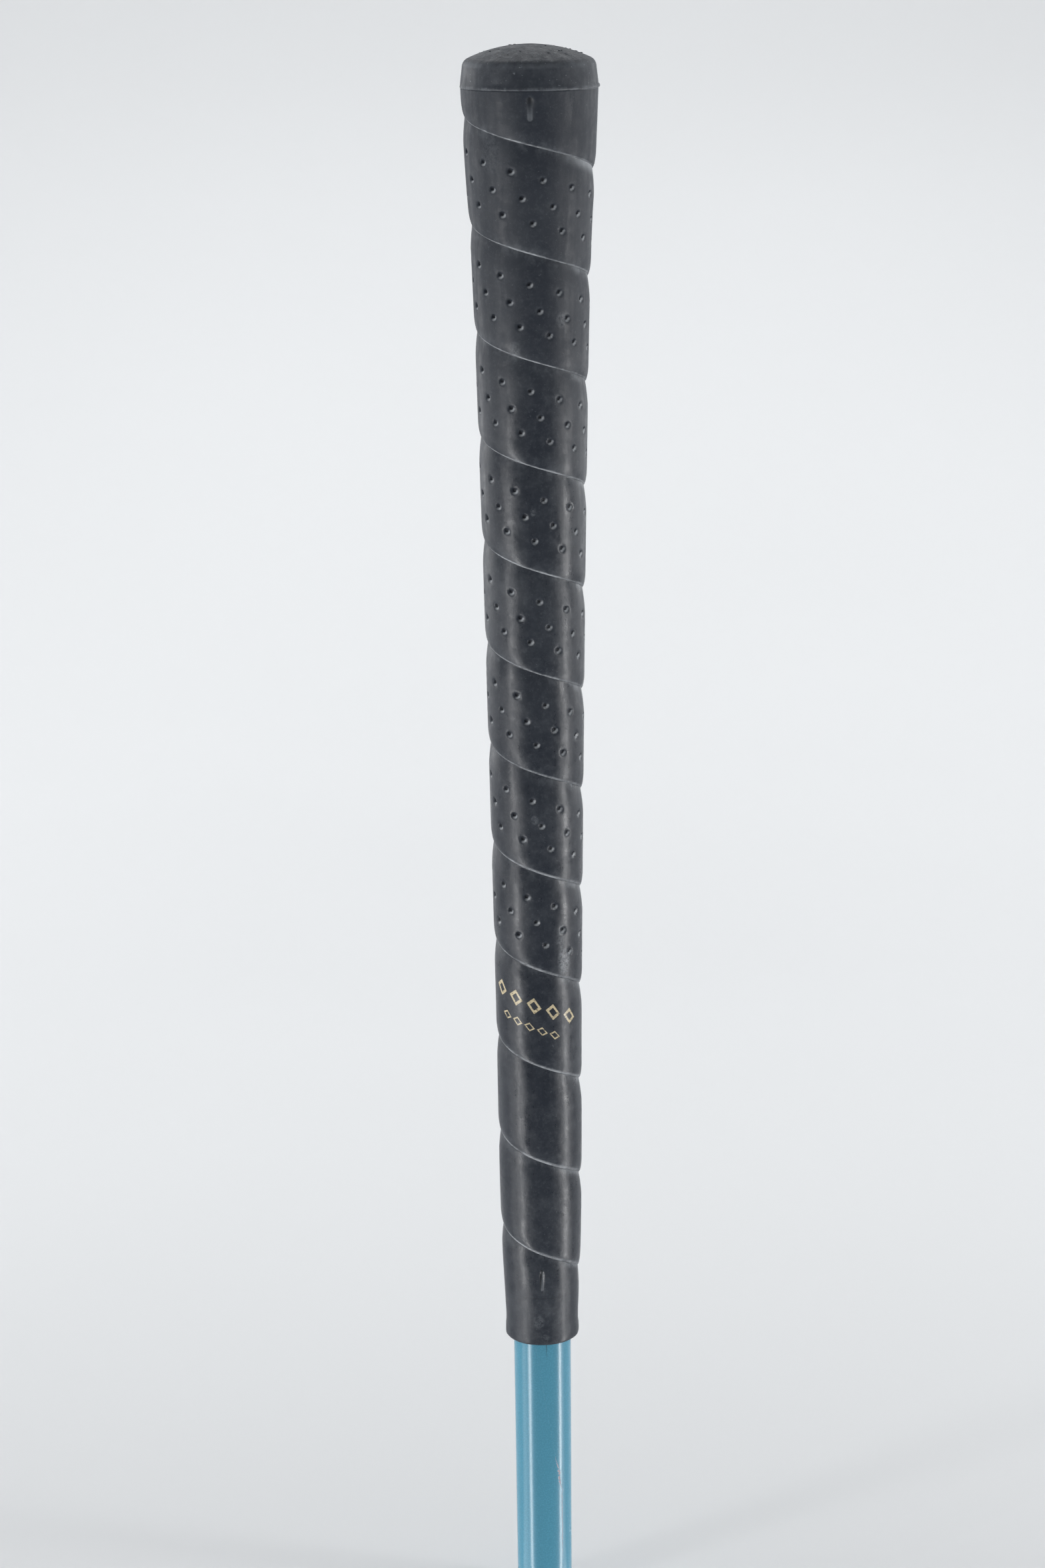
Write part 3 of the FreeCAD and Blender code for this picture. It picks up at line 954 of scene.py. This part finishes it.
class GOLFGRIP_OT_cap(bpy.types.Operator):
    """Turn the domed cap with its flash lip and scatter the lumps on its top"""
    bl_idname = "golfgrip.cap"
    bl_label = "Make Cap"

    def execute(self, context):
        cap = lathe("domed_cap", cap_profile(), 180, lip_wobble)
        material = rubber_material("cap_rubber", context.scene.golf_grip, wear_cap)
        apply_tree(cap, lump_tree(), {
            "Density": 190000.0, "Smallest": 0.06 * MM, "Largest": 0.44 * MM, "Above": CAP_LINE_Z + 6.4 * MM,
            "Seed": 7, "Material": material,
        })
        cap.data.shade_smooth()
        check_closed(cap)
        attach(cap, "root")
        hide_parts("butt_cap")
        return {"FINISHED"}


class GOLFGRIP_OT_shaft(bpy.types.Operator):
    """Turn the tapered shaft, open at both ends, and paint it"""
    bl_idname = "golfgrip.shaft"
    bl_label = "Make Shaft"

    def execute(self, context):
        edge, steps = 0.12 * MM, 40
        low, high = SHAFT_LOW[2], BUTT_Z
        low_radius, high_radius = shaft_radius(low), shaft_radius(high)
        heights = [high - (high - low) * k / steps for k in range(1, steps)]
        profile = [(high_radius - edge, high), (high_radius, high - edge)]
        profile += [(shaft_radius(z), z) for z in heights]
        profile += [(low_radius, low + edge), (low_radius - edge, low),
                    (low_radius - SHAFT_WALL + edge, low), (low_radius - SHAFT_WALL, low + edge),
                    (high_radius - SHAFT_WALL, high - edge), (high_radius - SHAFT_WALL + edge, high)]
        shaft = lathe("painted_shaft", profile, 144)
        shaft.data.materials.append(paint_material(context.scene.golf_grip))
        check_closed(shaft)
        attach(shaft, "root")
        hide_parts("shaft_tube")
        return {"FINISHED"}


class GOLFGRIP_OT_tape(bpy.types.Operator):
    """Give the hidden grip tape its crepe finish"""
    bl_idname = "golfgrip.tape"
    bl_label = "Finish Tape"

    def execute(self, context):
        material = tape_material(context.scene.golf_grip)
        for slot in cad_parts["grip_tape"].material_slots:
            slot.material = material
        return {"FINISHED"}


def area_lamp(name, place, target, size, radiance):
    """Soft lamp that faces its target and isn't seen itself."""
    data = bpy.data.lights.new(name, "AREA")
    data.shape = "RECTANGLE"
    data.size, data.size_y = size
    data.energy = radiance * math.pi * data.size * data.size_y
    lamp = bpy.data.objects.new(name, data)
    lamp.location = place
    lamp.visible_camera = False
    lamp.rotation_euler = (Vector(target) - Vector(place)).to_track_quat("-Z", "Y").to_euler()
    bpy.context.scene.collection.objects.link(lamp)


def stage_material(settings):
    """Matt paper with painted shading that darkens it up the wall, which turns into the plain backdrop away
    from the grip.
    """
    material, nodes = new_material("stage_paper")
    place = nodes.add("ShaderNodeTexCoord")["Object"]
    axes = nodes.add("ShaderNodeSeparateXYZ", {}, [place])
    fibre = noise(nodes, place, 3.0, 2.0, 0.5)
    share = ((axes["Y"] + axes["Z"]) / SWEEP_LENGTH).high(0.0)
    tone = nodes.add("ShaderNodeFloatCurve", {"curve": PAPER_SHADING}, {"Value": share}) * (1.0 - fibre * 0.04)
    tint = mix(nodes, tone, (0.0, 0.0, 0.0), settings.finish.stage)
    paper = nodes.add("ShaderNodeBsdfDiffuse", {}, {"Color": tint})
    backdrop = nodes.add("ShaderNodeEmission", {}, {"Color": BACKDROP, "Strength": 1.0})
    in_front = (0.0 - axes["Y"]).high(0.0)
    away = (axes["X"] * axes["X"] + in_front * in_front) ** 0.5
    plain = away.fade(*PAPER_FADE) * seen_directly(nodes)
    both = nodes.add("ShaderNodeMixShader", {}, [plain, paper, backdrop])
    nodes.add("ShaderNodeOutputMaterial", {}, [both])
    return material


def seen_directly(nodes):
    """1 where a surface is seen or mirrored, and 0 where it only gives light."""
    path = nodes.add("ShaderNodeLightPath")
    return path["Is Camera Ray"].high(path["Is Glossy Ray"]).high(path["Is Transmission Ray"])


def paper_sweep(settings):
    """Floor that curves up into a wall behind, and its front half, which the low lamps shine through."""
    half, back, bend, top, front = 5.0, 0.7, 0.5, 5.0, 5.0
    line = [(0.0, 0.0), (back, 0.0)]
    for k in range(1, 17):
        turn = math.pi / 2 * k / 16
        line.append((back + bend * math.sin(turn), bend - bend * math.cos(turn)))
    line.append((back + bend, top))
    paper = stage_material(settings)
    for name, side in (("paper_sweep", line), ("paper_front", [(-front, 0.0), (0.0, 0.0)])):
        points = [(x, y, z) for y, z in side for x in (-half, half)]
        faces = [(2 * k, 2 * k + 1, 2 * k + 3, 2 * k + 2) for k in range(len(side) - 1)]
        mesh = bpy.data.meshes.new(name)
        mesh.from_pydata(points, [], faces)
        mesh.shade_smooth()
        mesh.materials.append(paper)
        sheet = make_object(name, mesh)
        solid = name == "paper_sweep"
        sheet.visible_glossy = solid
        sheet.visible_diffuse = solid
        sheet.visible_shadow = solid


def studio_world(context):
    """Dim all round as light, and pale where it is seen."""
    world = bpy.data.worlds.new("studio")
    context.scene.world = world
    world.use_nodes = True
    world.node_tree.nodes.clear()
    nodes = Nodes(world.node_tree)
    strength = WORLD_LIGHT + seen_directly(nodes) * (1.0 - WORLD_LIGHT)
    light = nodes.add("ShaderNodeBackground", {}, {"Color": BACKDROP, "Strength": strength})
    nodes.add("ShaderNodeOutputWorld", {}, [light])


class GOLFGRIP_OT_stage(bpy.types.Operator):
    """Make the paper sweep, the soft lamps and the camera"""
    bl_idname = "golfgrip.stage"
    bl_label = "Make Stage"

    def execute(self, context):
        settings = context.scene.golf_grip
        paper_sweep(settings)
        studio_world(context)
        for name, turn, distance, level, width, height, radiance in LAMPS:
            angle = math.radians(turn)
            place = (distance * math.sin(angle), -distance * math.cos(angle), level)
            area_lamp(name, place, (0.0, 0.0, level), (width, height), radiance)
        area_lamp("back_top", place=(0.0, 0.90, 1.20), target=(0.0, 1.0, 0.0), size=(2.6, 0.8), radiance=4.0)

        data = bpy.data.cameras.new("camera")
        data.sensor_width = 36.0
        data.lens = LENS
        data.clip_start = 0.01
        camera = bpy.data.objects.new("camera", data)
        camera.location = CAMERA_PLACE
        pitch = Matrix.Rotation(math.radians(90 - LOOKING_DOWN), 3, "X")
        camera.rotation_euler = (pitch @ Matrix.Rotation(math.radians(LEAN), 3, "Z")).to_euler()
        context.scene.collection.objects.link(camera)
        context.scene.camera = camera
        context.scene.view_settings.view_transform = "Standard"
        return {"FINISHED"}


class GOLFGRIP_PT_panel(bpy.types.Panel):
    bl_idname = "GOLFGRIP_PT_panel"
    bl_label = "Golf Grip"
    bl_space_type = "VIEW_3D"
    bl_region_type = "UI"
    bl_category = "Golf Grip"

    def draw(self, context):
        settings = context.scene.golf_grip
        for group in (settings.wrap, settings.pits, settings.finish):
            box = self.layout.box()
            for name in group.__annotations__:
                box.prop(group, name)
        for operator in OPERATORS:
            self.layout.operator(operator.bl_idname)


OPERATORS = (GOLFGRIP_OT_sleeve, GOLFGRIP_OT_cap, GOLFGRIP_OT_shaft, GOLFGRIP_OT_tape, GOLFGRIP_OT_stage)
CLASSES = (WrapSettings, PitSettings, FinishSettings, GolfGripSettings, *OPERATORS, GOLFGRIP_PT_panel)


def register():
    for item in CLASSES:
        bpy.utils.register_class(item)
    bpy.types.Scene.golf_grip = PointerProperty(type=GolfGripSettings)


def unregister():
    del bpy.types.Scene.golf_grip
    for item in reversed(CLASSES):
        bpy.utils.unregister_class(item)


def main():
    register()
    bpy.ops.golfgrip.sleeve()
    bpy.ops.golfgrip.cap()
    bpy.ops.golfgrip.shaft()
    bpy.ops.golfgrip.tape()
    bpy.ops.golfgrip.stage()


if __name__ == "__main__":
    main()
